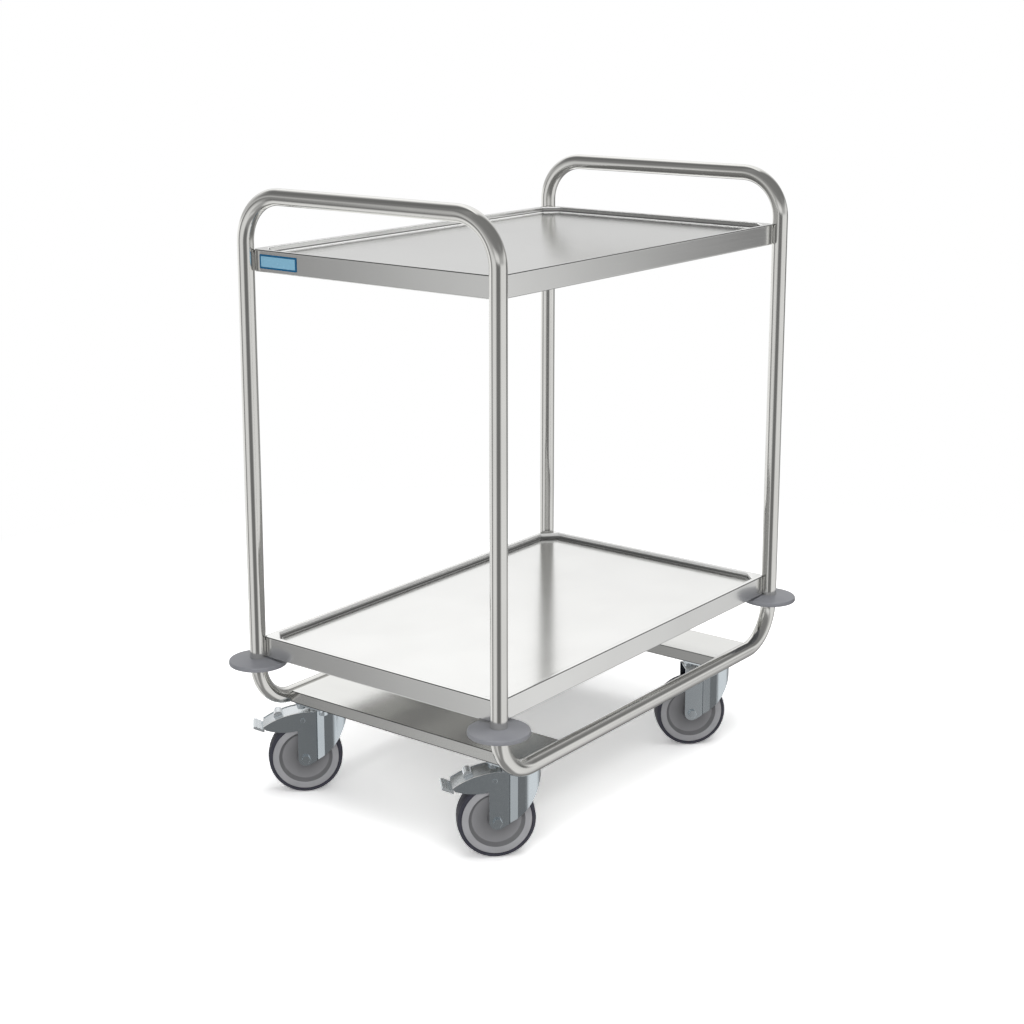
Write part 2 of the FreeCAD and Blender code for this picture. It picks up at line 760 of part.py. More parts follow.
def pedal():
    """A curved strip between the wings, with ears on the pin, a cross hump and a thick ribbed lip."""
    centre, upper, lower = pedal_strip_radii()
    front = pedal_front_lead
    back = -wing_tip_trail
    middle = (front + back) / 2
    strip = filled([
        arc(on_curve(centre, upper, front), on_curve(centre, upper, middle), on_curve(centre, upper, back)),
        line(on_curve(centre, upper, back), on_curve(centre, lower, back)),
        arc(on_curve(centre, lower, back), on_curve(centre, lower, middle), on_curve(centre, lower, front)),
        line(on_curve(centre, lower, front), on_curve(centre, upper, front)),
    ])
    strip_end = on_curve(centre, upper, back)
    slope = math.radians(pedal_lip_rise_degrees)
    outward = point(-math.cos(slope), 0, math.sin(slope))
    upward = point(math.sin(slope), 0, math.cos(slope))
    lip_root = strip_end - up * (pedal_lip_drop + pedal_sheet)
    web = filled_polygon([
        strip_end, strip_end + along * pedal_sheet, lip_root + along * pedal_sheet - up * pedal_sheet,
        lip_root - up * pedal_sheet,
    ])
    lip = filled_polygon([
        lip_root + along * pedal_sheet, lip_root + outward * pedal_lip_length,
        lip_root + outward * pedal_lip_length - upward * pedal_lip_thickness,
        lip_root + along * pedal_sheet - up * pedal_lip_thickness,
    ])
    profiles = [strip, web, lip]
    for step in range(pedal_rib_count):
        reach = pedal_lip_length * (step + 1) / (pedal_rib_count + 1)
        foot = lip_root + outward * reach - upward * (pedal_sheet / 2)
        crest = upward * (pedal_rib_height + pedal_sheet / 2)
        profiles.append(filled_polygon([
            foot, foot + outward * pedal_rib_width, foot + outward * pedal_rib_width + crest, foot + crest,
        ]))
    plate = fused([across_pedal(profile, pedal_half_width) for profile in profiles])
    hump = across_pedal(hump_profile(centre, upper), pedal_half_width - pedal_hump_inset)
    return fused([plate, hump] + pedal_ears(centre, lower))


def hump_profile(centre, upper):
    """A raised cross rib with a rounded top, part way along the strip."""
    front = on_curve(centre, upper, -pedal_hump_trail + pedal_hump_length / 2)
    back = on_curve(centre, upper, -pedal_hump_trail - pedal_hump_length / 2)
    crest = on_curve(centre, upper, -pedal_hump_trail) + up * pedal_hump_height
    sunk = up * (pedal_sheet / 2)
    return filled([
        line(back - sunk, front - sunk),
        line(front - sunk, front),
        arc(front, crest, back),
        line(back, back - sunk),
    ])


def pedal_ears(centre, lower):
    """Two side ears that hang from the strip and turn on the pin."""
    top = on_curve(centre, lower, -pedal_pin_trail).z + pedal_sheet / 2
    ears = []
    for turn in (-1, 1):
        outer = turn * pedal_half_width
        inner = turn * (pedal_half_width - pedal_sheet)
        low, high = min(outer, inner), max(outer, inner)
        web = Part.makeBox(2 * pedal_ear_radius, high - low, top - pedal_pin_height,
                           point(-pedal_pin_trail - pedal_ear_radius, low, pedal_pin_height))
        lobe = cross_cylinder(pedal_ear_radius, -pedal_pin_trail, pedal_pin_height, low, high)
        bore = cross_cylinder(pedal_pin_diameter / 2 + running_gap, -pedal_pin_trail,
                              pedal_pin_height, low, high)
        ears.append(fused([web, lobe]).cut(bore))
    return ears


def pedal_pin():
    """A rivet through both wings."""
    face = fork_leg_outer
    shank = cross_cylinder(pedal_pin_diameter / 2, -pedal_pin_trail, pedal_pin_height, -face, face)
    heads = []
    for low in (-face - pedal_pin_head_height, face):
        heads.append(cross_cylinder(pedal_pin_head_diameter / 2, -pedal_pin_trail, pedal_pin_height,
                                    low, low + pedal_pin_head_height))
    return fused([shank] + heads)


def brake_shoe():
    """A block under the pedal, curved below to the tread, clear of it until the pedal is pressed."""
    centre, _, lower = pedal_strip_radii()
    half = shoe_width / 2
    block = Part.makeBox(shoe_length, shoe_width, fork_top_height - wheel_radius,
                         point(-shoe_front_trail - shoe_length, -half, wheel_radius))
    under_pedal = cross_cylinder(lower - weld_gap, centre.x, centre.z, -half, half)
    tread = cross_cylinder(wheel_radius + shoe_gap, 0, wheel_radius, -half, half)
    return block.common(under_pedal).cut(tread)


def swivelled(shape, end, side):
    """Moves a piece of the turning half to its caster, turned as the cart was left standing."""
    x, y = caster_axis(end, side)
    moved = shape.copy()
    moved.translate(point(-caster_trail, 0, 0))
    moved.rotate(point(0, 0, 0), up, caster_turn_degrees)
    moved.translate(point(x, y, 0))
    return moved


def moved_to_caster(shape, end, side):
    x, y = caster_axis(end, side)
    moved = shape.copy()
    moved.translate(point(x, y, 0))
    return moved


# Every piece, saved under its own name
os.makedirs("parts", exist_ok=True)

shelf_heights = {"top": top_rim_height, "lower": lower_rim_height}
for level, rim_height in shelf_heights.items():
    save(level + "_shelf", shelf(rim_height))
    save(level + "_stiffener", hat_section(rim_height))
save("shelf_welds", Part.makeCompound(corner_beads(top_rim_height) + corner_beads(lower_rim_height)))
save("label_plate", label_plate())

for end in ends:
    save("frame_" + end, frame_half(end))
    save("channel_" + end, channel(end))

all_bolts = [place for end, side in corners for place in bolt_places(end, side)]
save("caster_bolts", Part.makeCompound([caster_bolt(x, y) for x, y in all_bolts]))
save("caster_washers", Part.makeCompound([caster_washer(x, y) for x, y in all_bolts]))
save("caster_nuts", Part.makeCompound([caster_nut(x, y) for x, y in all_bolts]))

fixed_pieces = {"caster_plate": caster_plate(), "kingpin": kingpin()}
turning_pieces = {
    "swivel_balls": swivel_balls(), "axle": axle(), "sleeve": sleeve(),
    "rim": rim(), "tyre": tyre(), "bush": bushes(),
}
brake_pieces = {"pedal": pedal(), "pedal_pin": pedal_pin(), "brake_shoe": brake_shoe()}
forks = {True: fork(True), False: fork(False)}

for end, side in corners:
    corner = "_" + end + "_" + side
    braked = end == braked_end
    save("bumper" + corner, bumper(ends[end] * half_length, sides[side] * half_width))
    for name, shape in fixed_pieces.items():
        save(name + corner, moved_to_caster(shape, end, side))
    save("fork" + corner, swivelled(forks[braked], end, side))
    for name, shape in turning_pieces.items():
        save(name + corner, swivelled(shape, end, side))
    if braked:
        for name, shape in brake_pieces.items():
            save(name + corner, swivelled(shape, end, side))
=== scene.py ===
import json
import math

import bmesh
import bpy
from mathutils import Matrix, Vector


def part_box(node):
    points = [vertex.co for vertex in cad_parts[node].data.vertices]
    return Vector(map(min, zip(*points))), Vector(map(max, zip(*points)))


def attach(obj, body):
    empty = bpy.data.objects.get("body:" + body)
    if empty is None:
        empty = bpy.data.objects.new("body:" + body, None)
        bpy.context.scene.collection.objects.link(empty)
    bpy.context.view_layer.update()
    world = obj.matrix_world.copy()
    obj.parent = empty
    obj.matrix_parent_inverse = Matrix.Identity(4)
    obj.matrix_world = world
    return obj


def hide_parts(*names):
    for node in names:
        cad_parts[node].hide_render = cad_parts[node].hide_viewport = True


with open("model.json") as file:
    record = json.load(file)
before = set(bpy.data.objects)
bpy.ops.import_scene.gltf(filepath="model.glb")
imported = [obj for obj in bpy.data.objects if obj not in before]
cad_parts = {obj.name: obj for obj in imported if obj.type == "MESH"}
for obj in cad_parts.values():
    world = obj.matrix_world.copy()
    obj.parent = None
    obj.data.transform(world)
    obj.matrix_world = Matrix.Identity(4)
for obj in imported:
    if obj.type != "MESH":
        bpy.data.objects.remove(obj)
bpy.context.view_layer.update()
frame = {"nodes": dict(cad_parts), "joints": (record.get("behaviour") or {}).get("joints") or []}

# A two-shelf serving cart: bent steel tube, folded tray shelves, bumper discs and swivel casters.
# Metres, in the cart's own frame: origin on the floor, +X away from the braked end, +Z up.
mm = 0.001
up = Vector((0, 0, 1))
corner_names = ("front_left", "front_right", "rear_left", "rear_right")
braked_names = ("front_left", "front_right")
joints = {joint["name"]: joint for joint in frame["joints"]}

# Sizes of the bent tube, read from the frame and its stock tube
tube_radius = 13.45 * mm
tube_bend = 75 * mm
tube_sides = 64
bend_steps = 24
frame_low, frame_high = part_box("frame_front")
post_x = -frame_low.x - tube_radius
post_y = frame_high.y - tube_radius
handle_z = frame_high.z - tube_radius
rail_z = frame_low.z + tube_radius

# Sizes of the folded shelves
sheet = 1.2 * mm
rim_width = 9 * mm
tray_depth = 10 * mm
tray_corner = 24 * mm
post_corner = 8.69 * mm
skirt_lip = 12 * mm
fold_radius = 2.4 * mm
fold_segments = 4
deck_fold_radius = 5 * mm
deck_fold_segments = 6

# Sizes of the rounded edges on pressed pieces and fasteners
pressed_edge = 0.9 * mm
pressed_segments = 3
rivet_edge = 0.6 * mm
thin_sheet_edge = 0.5 * mm
bolt_edge = 0.4 * mm
small_edge = 0.3 * mm

# Lines on the pressed pieces, which carry painted shade and sharp creases:
# in from the channels' edges, and ahead of the axle on the forks' sides
channel_upper_line = 1.5 * mm
channel_lower_line = 1.3 * mm
fork_groove_line = 19.3 * mm
fork_groove_reach = 1.7 * mm
fork_press_lines = (31.5 * mm, 43 * mm)
press_line_reach = 0.3 * mm

# Sizes of the wheels and bumpers
wheel_sides = 128
tread_width = 32 * mm
tread_band = 7 * mm
wheel_radius = 62.5 * mm
bumper_sides = 128
seat_gap = 0.05 * mm

# Angles and gaps that tell a sharp edge from a round one, and one point from two
sharp_degrees = 35
flat_degrees = 0.2
merge_gap = 0.001 * mm
packed_merge_gap = 0.002 * mm


# Helpers for modelling by hand in edit mode

def start_clean():
    """Leaves edit mode and deselects everything."""
    if bpy.context.object and bpy.context.object.mode != "OBJECT":
        bpy.ops.object.mode_set(mode="OBJECT")
    bpy.ops.object.select_all(action="DESELECT")


def named(name):
    """Names the active piece and its mesh."""
    piece = bpy.context.object
    piece.name = name
    piece.data.name = name
    return piece


def edit_mode():
    """Goes to edit mode, where points are selected until something else is asked for."""
    bpy.ops.object.mode_set(mode="EDIT")
    bpy.ops.mesh.select_mode(type="VERT")


def object_mode():
    """Goes back to object mode, which stores the edited mesh."""
    bpy.ops.object.mode_set(mode="OBJECT")


def pick(piece, kind, rule):
    """Selects the edges or faces, by kind EDGE or FACE, that pass a rule."""
    bpy.ops.mesh.select_mode(type=kind)
    bpy.ops.mesh.select_all(action="DESELECT")
    mesh = bmesh.from_edit_mesh(piece.data)
    elements = mesh.edges if kind == "EDGE" else mesh.faces
    for element in elements:
        element.select_set(rule(element))
    mesh.select_flush_mode()
    bmesh.update_edit_mesh(piece.data)


def pick_edges(piece, test):
    """Selects the edges whose both ends pass a test of their place."""
    pick(piece, "EDGE", lambda edge: all(test(vertex.co) for vertex in edge.verts))


def pull(offset):
    """Extrudes what is selected by an offset."""
    bpy.ops.mesh.extrude_region_move(TRANSFORM_OT_translate={"value": tuple(offset)})


def turn_round(centre, axis, degrees, steps):
    """Sweeps what is selected round an axis, right-handed."""
    bpy.ops.mesh.spin(steps=steps, angle=math.radians(-degrees), center=tuple(centre), axis=tuple(axis))


def tidy_mesh():
    """Merges doubled points and turns the faces outwards, in edit mode."""
    bpy.ops.mesh.select_all(action="SELECT")
    bpy.ops.mesh.remove_doubles(threshold=merge_gap)
    bpy.ops.mesh.normals_make_consistent(inside=False)


def apply_modifier(piece, modifier):
    """Makes what a modifier does part of a piece's mesh."""
    bpy.context.view_layer.objects.active = piece
    bpy.ops.object.modifier_apply(modifier=modifier.name)


def add_bevel(piece, width, segments, degrees):
    """Rounds the edges that are sharper than an angle."""
    modifier = piece.modifiers.new("rounded_edges", "BEVEL")
    modifier.width = width
    modifier.segments = segments
    modifier.limit_method = "ANGLE"
    modifier.angle_limit = math.radians(degrees)
    modifier.harden_normals = False
    apply_modifier(piece, modifier)


def smooth(piece, degrees=sharp_degrees):
    """Shades a piece smooth, apart from its edges that are sharper than an angle."""
    start_clean()
    piece.select_set(True)
    bpy.context.view_layer.objects.active = piece
    bpy.ops.object.shade_smooth_by_angle(angle=math.radians(degrees))


def flatten_faces(piece):
    """Lets the large faces keep their flat shading, so that only the rounded edges look round."""
    modifier = piece.modifiers.new("flat_faces", "WEIGHTED_NORMAL")
    modifier.keep_sharp = True
    apply_modifier(piece, modifier)


def mark_faces(piece, name, rule):
    """Stores a mask on the faces, from a rule that takes a face and gives a share from 0 to 1."""
    mask = piece.data.attributes.new(name, "FLOAT", "FACE")
    for face, value in zip(piece.data.polygons, mask.data):
        value.value = rule(face)


def finish_piece(piece, body, material, node):
    """Gives a finished piece its material and body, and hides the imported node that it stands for."""
    piece.data.materials.clear()
    piece.data.materials.append(material)
    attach(piece, body)
    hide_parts(node)


def dress(node, material):
    """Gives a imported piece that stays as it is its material."""
    mesh = frame["nodes"][node].data
    mesh.materials.clear()
    mesh.materials.append(material)


def placed_copy(source, name, matrix):
    """A copy of a piece with its own mesh, moved by a matrix that is applied to the mesh."""
    start_clean()
    copy = bpy.data.objects.new(name, source.data.copy())
    bpy.context.scene.collection.objects.link(copy)
    copy.data.name = name
    copy.matrix_world = matrix
    copy.select_set(True)
    bpy.context.view_layer.objects.active = copy
    bpy.ops.object.transform_apply(location=True, rotation=True, scale=True)
    return copy


def turned(name, profile, sides):
    """A closed outline of (radius, height) swept round the Z axis, ring by ring."""
    start_clean()
    radius, height = profile[0]
    bpy.ops.mesh.primitive_circle_add(vertices=sides, radius=radius, location=(0, 0, 0))
    piece = named(name)
    edit_mode()
    bpy.ops.mesh.select_all(action="SELECT")
    bpy.ops.transform.translate(value=(0, 0, height))
    for next_radius, next_height in profile[1:] + profile[:1]:
        pull((0, 0, next_height - height))
        grow = next_radius / radius
        bpy.ops.transform.resize(value=(grow, grow, 1), center_override=(0, 0, 0))
        radius, height = next_radius, next_height
    tidy_mesh()
    object_mode()
    return piece


def arc_points(centre, radius, start, end, steps):
    """Points of (radius, height) on an arc, with angles in degrees."""
    turns = [math.radians(start + (end - start) * step / steps) for step in range(steps + 1)]
    return [(centre[0] + radius * math.cos(t), centre[1] + radius * math.sin(t)) for t in turns]


def softened(node, name, width, segments=2):
    """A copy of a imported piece, merged, with its sharp edges rounded over."""
    start_clean()
    piece = bpy.data.objects.new(name, frame["nodes"][node].data.copy())
    piece.data.name = name
    bpy.context.scene.collection.objects.link(piece)
    piece.select_set(True)
    bpy.context.view_layer.objects.active = piece
    bpy.ops.mesh.customdata_custom_splitnormals_clear()
    edit_mode()
    bpy.ops.mesh.select_all(action="SELECT")
    bpy.ops.mesh.remove_doubles(threshold=packed_merge_gap)
    bpy.ops.mesh.dissolve_limited(angle_limit=math.radians(flat_degrees))
    object_mode()
    add_bevel(piece, width, segments, sharp_degrees)
    smooth(piece)
    flatten_faces(piece)
    return piece


# Nodes and node groups that several finishes share

def new_group(name, inputs, outputs):
    """A shader node group with its sockets, and the nodes inside it that stand for them."""
    group = bpy.data.node_groups.new(name, "ShaderNodeTree")
    for socket, kind in inputs:
        group.interface.new_socket(socket, in_out="INPUT", socket_type=kind)
    for socket, kind in outputs:
        group.interface.new_socket(socket, in_out="OUTPUT", socket_type=kind)
    return group, group.nodes.new("NodeGroupInput"), group.nodes.new("NodeGroupOutput")


def noise_node(tree, vector, scale, detail, roughness=0.5):
    """Soft noise over a vector."""
    node = tree.nodes.new("ShaderNodeTexNoise")
    node.inputs["Scale"].default_value = scale
    node.inputs["Detail"].default_value = detail
    node.inputs["Roughness"].default_value = roughness
    tree.links.new(vector, node.inputs["Vector"])
    return node.outputs["Fac"]


def ranged(tree, value, low, high, new_low, new_high):
    """A value stretched from one range to another, and held at its ends."""
    node = tree.nodes.new("ShaderNodeMapRange")
    node.inputs["From Min"].default_value = low
    node.inputs["From Max"].default_value = high
    node.inputs["To Min"].default_value = new_low
    node.inputs["To Max"].default_value = new_high
    tree.links.new(value, node.inputs["Value"])
    return node.outputs["Result"]


def joined(tree, operation, first, second):
    """Two values joined by a math operation."""
    node = tree.nodes.new("ShaderNodeMath")
    node.operation = operation
    tree.links.new(first, node.inputs[0])
    tree.links.new(second, node.inputs[1])
    return node.outputs["Value"]


def within(tree, value, middle, half):
    """1 where a value lies within half a width of a middle, and 0 elsewhere."""
    node = tree.nodes.new("ShaderNodeMath")
    node.operation = "COMPARE"
    node.inputs[1].default_value = middle
    node.inputs[2].default_value = half
    tree.links.new(value, node.inputs[0])
    return node.outputs["Value"]


def brushed_grain_group():
    """Fine streaks and soft smudges for ground steel.
    The vector of the streaks is squeezed along the grain before it comes here."""
    group, source, sink = new_group(
        "brushed_grain", [("Vector", "NodeSocketVector"), ("Plain Vector", "NodeSocketVector")],
        [("Streak", "NodeSocketFloat"), ("Smudge", "NodeSocketFloat")])
    streak = noise_node(group, source.outputs["Vector"], scale=1.0, detail=4.0, roughness=0.65)
    smudge = noise_node(group, source.outputs["Plain Vector"], scale=7.0, detail=3.0)
    group.links.new(ranged(group, streak, 0.25, 0.75, 0.0, 1.0), sink.inputs["Streak"])
    group.links.new(ranged(group, smudge, 0.3, 0.7, 0.0, 1.0), sink.inputs["Smudge"])
    return group


def moulded_grain_group():
    """The fine eggshell of a moulded surface, and its uneven shade and dust."""
    group, source, sink = new_group(
        "moulded_grain", [("Vector", "NodeSocketVector"), ("Grain Scale", "NodeSocketFloat")],
        [("Grain", "NodeSocketFloat"), ("Shade", "NodeSocketFloat")])
    grain = group.nodes.new("ShaderNodeTexNoise")
    grain.inputs["Detail"].default_value = 3.0
    group.links.new(source.outputs["Vector"], grain.inputs["Vector"])
    group.links.new(source.outputs["Grain Scale"], grain.inputs["Scale"])
    shade = noise_node(group, source.outputs["Vector"], scale=38.0, detail=4.0, roughness=0.6)
    group.links.new(grain.outputs["Fac"], sink.inputs["Grain"])
    group.links.new(ranged(group, shade, 0.3, 0.7, 0.0, 1.0), sink.inputs["Shade"])
    return group


brushed_grain = brushed_grain_group()
moulded_grain = moulded_grain_group()


# Finishes

# Strengths of the bumps of ground steel and of moulded surfaces
streak_strength = 0.35
grain_strength = 0.4

# The share of its colour that a face keeps under full painted shade, and the colour and metal of a painted
# highlight
painted_shade_share = 0.06
painted_highlight_tone = (0.95, 0.95, 0.94)
painted_highlight_metal = 0.25


def new_material(name):
    """A material with its node tree, its shader and the Object coordinates."""
    material = bpy.data.materials.new(name)
    material.use_nodes = True
    tree = material.node_tree
    shader = tree.nodes["Principled BSDF"]
    coordinates = tree.nodes.new("ShaderNodeTexCoord")
    return material, tree, shader, coordinates.outputs["Object"]


def two_tones(tree, factor, dark, light):
    """Two colours mixed by a factor."""
    mix = tree.nodes.new("ShaderNodeMix")
    mix.data_type = "RGBA"
    mix.inputs["A"].default_value = (*dark, 1)
    mix.inputs["B"].default_value = (*light, 1)
    tree.links.new(factor, mix.inputs["Factor"])
    return mix.outputs["Result"]


def mask_value(tree, name):
    """The named mask that is stored on a piece's mesh."""
    mask = tree.nodes.new("ShaderNodeAttribute")
    mask.attribute_name = name
    return mask.outputs["Fac"]


def masked(tree, name, tone, at_mask, blend="MIX"):
    """A tone that is blended with another colour where the named mask is set."""
    mix = tree.nodes.new("ShaderNodeMix")
    mix.data_type = "RGBA"
    mix.blend_type = blend
    mix.inputs["B"].default_value = (*at_mask, 1)
    tree.links.new(mask_value(tree, name), mix.inputs["Factor"])
    tree.links.new(tone, mix.inputs["A"])
    return mix.outputs["Result"]


def bumped(tree, shader, height, strength, distance):
    """Gives a shader fine bumps from a height."""
    bump = tree.nodes.new("ShaderNodeBump")
    bump.inputs["Strength"].default_value = strength
    bump.inputs["Distance"].default_value = distance
    tree.links.new(height, bump.inputs["Height"])
    tree.links.new(bump.outputs["Normal"], shader.inputs["Normal"])


def brushed_steel(name, squeeze, dark, light, smoothest, roughest, grain_depth, marked=True):
    """Ground steel. squeeze scales the pattern along X, Y and Z, small along the grain.
    Where faces are marked, painted highlights make them paler and more matt, and painted shade makes them
    darker."""
    material, tree, shader, place = new_material(name)
    squeezed = tree.nodes.new("ShaderNodeMapping")
    squeezed.inputs["Scale"].default_value = squeeze
    tree.links.new(place, squeezed.inputs["Vector"])
    grain = tree.nodes.new("ShaderNodeGroup")
    grain.node_tree = brushed_grain
    tree.links.new(squeezed.outputs["Vector"], grain.inputs["Vector"])
    tree.links.new(place, grain.inputs["Plain Vector"])
    tone = two_tones(tree, grain.outputs["Smudge"], dark, light)
    shader.inputs["Metallic"].default_value = 1.0
    if marked:
        # Painted shade and painted highlights, from masks on the faces; a painted highlight is also less
        # metal
        tone = masked(tree, "painted_shade", tone, [painted_shade_share * shade for shade in dark])
        tone = masked(tree, "painted_highlight", tone, painted_highlight_tone)
        metal = ranged(tree, mask_value(tree, "painted_highlight"), 0, 1, 1.0, painted_highlight_metal)
        tree.links.new(metal, shader.inputs["Metallic"])
    tree.links.new(tone, shader.inputs["Base Color"])
    roughness = ranged(tree, grain.outputs["Streak"], 0, 1, smoothest, roughest)
    tree.links.new(roughness, shader.inputs["Roughness"])
    bumped(tree, shader, grain.outputs["Streak"], streak_strength, grain_depth)
    return material


def moulded(name, dark, light, smoothest, roughest, grain_scale, grain_depth, recess_shade_tone=None):
    """A moulded plastic or rubber with a fine grain, darkened towards a given tone by painted shade where
    marked.
    """
    material, tree, shader, place = new_material(name)
    grain = tree.nodes.new("ShaderNodeGroup")
    grain.node_tree = moulded_grain
    grain.inputs["Grain Scale"].default_value = grain_scale
    tree.links.new(place, grain.inputs["Vector"])
    tone = two_tones(tree, grain.outputs["Shade"], dark, light)
    # Painted shade, multiplied in where it is marked
    if recess_shade_tone:
        tone = masked(tree, "painted_recess_shade", tone, recess_shade_tone, "MULTIPLY")
    tree.links.new(tone, shader.inputs["Base Color"])
    roughness = ranged(tree, grain.outputs["Shade"], 0, 1, smoothest, roughest)
    tree.links.new(roughness, shader.inputs["Roughness"])
    bumped(tree, shader, grain.outputs["Grain"], grain_strength, grain_depth)
    return material


def plate_blue(centre, half_width, half_height):
    """A glossy blue plate with a paler, bare panel inside a darker border."""
    material, tree, shader, place = new_material("plate_blue")
    split = tree.nodes.new("ShaderNodeSeparateXYZ")
    tree.links.new(place, split.inputs["Vector"])
    in_width = within(tree, split.outputs["Y"], centre.y, half_width)
    in_height = within(tree, split.outputs["Z"], centre.z, half_height)
    inside = joined(tree, "MULTIPLY", in_width, in_height)
    tone = two_tones(tree, inside, dark=(0.006, 0.11, 0.24), light=(0.26, 0.52, 0.70))
    tree.links.new(tone, shader.inputs["Base Color"])
    gloss = noise_node(tree, place, scale=240.0, detail=3.0)
    tree.links.new(ranged(tree, gloss, 0.3, 0.7, 0.18, 0.3), shader.inputs["Roughness"])
    return material


tube_steel = brushed_steel(
    "tube_steel", squeeze=(300, 300, 300), dark=(0.72, 0.715, 0.69), light=(0.77, 0.765, 0.74),
    smoothest=0.11, roughest=0.14, grain_depth=0.0006 * mm, marked=False)
tray_steel = brushed_steel(
    "tray_steel", squeeze=(8, 420, 420), dark=(0.82, 0.82, 0.805), light=(0.86, 0.86, 0.845),
    smoothest=0.15, roughest=0.19, grain_depth=0.001 * mm)
channel_steel = brushed_steel(
    "channel_steel", squeeze=(420, 8, 420), dark=(0.72, 0.72, 0.70), light=(0.77, 0.77, 0.75),
    smoothest=0.16, roughest=0.2, grain_depth=0.001 * mm)
zinc = brushed_steel(
    "zinc_plate", squeeze=(220, 220, 220), dark=(0.62, 0.68, 0.72), light=(0.72, 0.77, 0.80),
    smoothest=0.15, roughest=0.22, grain_depth=0.002 * mm)
bumper_plastic = moulded(
    "bumper_plastic", dark=(0.22, 0.225, 0.245), light=(0.25, 0.255, 0.275),
    smoothest=0.34, roughest=0.45, grain_scale=2600, grain_depth=0.02 * mm)
tread_rubber = moulded(
    "tread_rubber", dark=(0.035, 0.035, 0.05), light=(0.055, 0.055, 0.07),
    smoothest=0.55, roughest=0.75, grain_scale=1900, grain_depth=0.03 * mm)
bearing_plastic = moulded(
    "bearing_plastic", dark=(0.42, 0.42, 0.40), light=(0.5, 0.5, 0.48),
    smoothest=0.4, roughest=0.5, grain_scale=2600, grain_depth=0.01 * mm)
# The wheel's plastic, with painted shade in its sunk centre
wheel_plastic = moulded(
    "wheel_plastic", dark=(0.36, 0.36, 0.375), light=(0.40, 0.40, 0.415),
    smoothest=0.42, roughest=0.55, grain_scale=2600, grain_depth=0.02 * mm,
    recess_shade_tone=(0.35, 0.35, 0.35))


# Bent tube frame

def frame_tube(name, end):
    """One frame half, drawn as a ring pulled along a rail, a post, the handle, a post and a rail."""
    start_clean()
    bpy.ops.mesh.primitive_circle_add(
        vertices=tube_sides, radius=tube_radius, location=(0, post_y, rail_z),
        rotation=(0, math.pi / 2, 0))
    bpy.ops.object.transform_apply(location=True, rotation=True, scale=True)
    piece = named(name)
    inner_x = end * (post_x - tube_bend)
    inner_y = post_y - tube_bend
    low_z = rail_z + tube_bend
    high_z = handle_z - tube_bend
    edit_mode()
    bpy.ops.mesh.select_all(action="SELECT")
    pull((inner_x, 0, 0))
    turn_round((inner_x, post_y, low_z), (0, 1, 0), -90 * end, bend_steps)
    pull((0, 0, high_z - low_z))
    turn_round((end * post_x, inner_y, high_z), (1, 0, 0), 90, bend_steps)
    pull((0, -2 * inner_y, 0))
    turn_round((end * post_x, -inner_y, high_z), (1, 0, 0), 90, bend_steps)
    pull((0, 0, low_z - high_z))
    turn_round((inner_x, -post_y, low_z), (0, 1, 0), 90 * end, bend_steps)
    pull((-inner_x, 0, 0))
    bpy.ops.mesh.select_all(action="SELECT")
    bpy.ops.mesh.remove_doubles(threshold=merge_gap)
    bpy.ops.mesh.fill_holes(sides=0)
    tidy_mesh()
    object_mode()
    smooth(piece)
    return piece


for end_name, end in (("front", -1), ("rear", 1)):
    tube = frame_tube("tube_" + end_name, end)
    finish_piece(tube, "cart", tube_steel, "frame_" + end_name)
dress("shelf_welds", tube_steel)


# Folded shelves

# Parts of a face's normal that tell which way it looks: to a side, or how nearly straight up
sideways = 0.2
nearly_level = 0.98
level_deck = 0.9999
rim_fold_slopes = (0.15, 0.97)

# How strong the painted shade on the outer fold of a rim is, and how far a point may lie from the deck's
# height
rim_fold_painted_shade = 0.75
deck_reach = 0.1 * mm


def cut_corner_loop(half_x, half_y, cut, height):
    """Adds a level loop of edges with its four corners cut off, in edit mode."""
    bpy.ops.mesh.select_all(action="DESELECT")
    bpy.ops.mesh.primitive_plane_add(size=2, location=(0, 0, height))
    bpy.ops.transform.resize(value=(half_x, half_y, 1), center_override=(0, 0, height))
    bpy.ops.mesh.bevel(offset=cut, affect="VERTICES", segments=1)
    bpy.ops.mesh.delete(type="ONLY_FACE")


def face_up(piece, deck_z):
    """Turns a sheet over if its deck looks down."""
    deck = min(piece.data.polygons, key=lambda face: abs(face.center.z - deck_z) - face.area)
    if deck.normal.z < 0:
        edit_mode()
        bpy.ops.mesh.select_all(action="SELECT")
        bpy.ops.mesh.flip_normals()
        object_mode()


def tray_sheet(name, low, high):
    """A thin sheet with a sunk deck, a flat rim, a skirt and a lip turned in under it, all sharp."""
    half_x, half_y = high.x, high.y
    start_clean()
    bpy.ops.mesh.primitive_plane_add(size=2, location=(0, 0, 0))
    piece = named(name)
    edit_mode()
    bpy.ops.mesh.delete(type="VERT")
    cut_corner_loop(half_x, half_y, post_corner, high.z)
    cut_corner_loop(half_x - rim_width, half_y - rim_width, tray_corner, high.z)
    bpy.ops.mesh.select_mode(type="EDGE")
    bpy.ops.mesh.select_all(action="SELECT")
    bpy.ops.mesh.bridge_edge_loops()
    inner_reach = half_x + half_y - 2 * rim_width - tray_corner

    def on_inner(co):
        inside_x = abs(co.x) < half_x - rim_width / 2
        inside_y = abs(co.y) < half_y - rim_width / 2
        return inside_x and inside_y and abs(co.x) + abs(co.y) < inner_reach + rim_width / 4

    pick_edges(piece, on_inner)
    pull((0, 0, -tray_depth))
    bpy.ops.mesh.edge_face_add()
    pick_edges(piece, lambda co: not on_inner(co))
    pull((0, 0, low.z - high.z))
    pull((0, 0, 0))
    shrink = ((half_x - skirt_lip) / half_x, (half_y - skirt_lip) / half_y, 1)
    bpy.ops.transform.resize(value=shrink, center_override=(0, 0, low.z))
    tidy_mesh()
    object_mode()
    face_up(piece, high.z - tray_depth)
    return piece


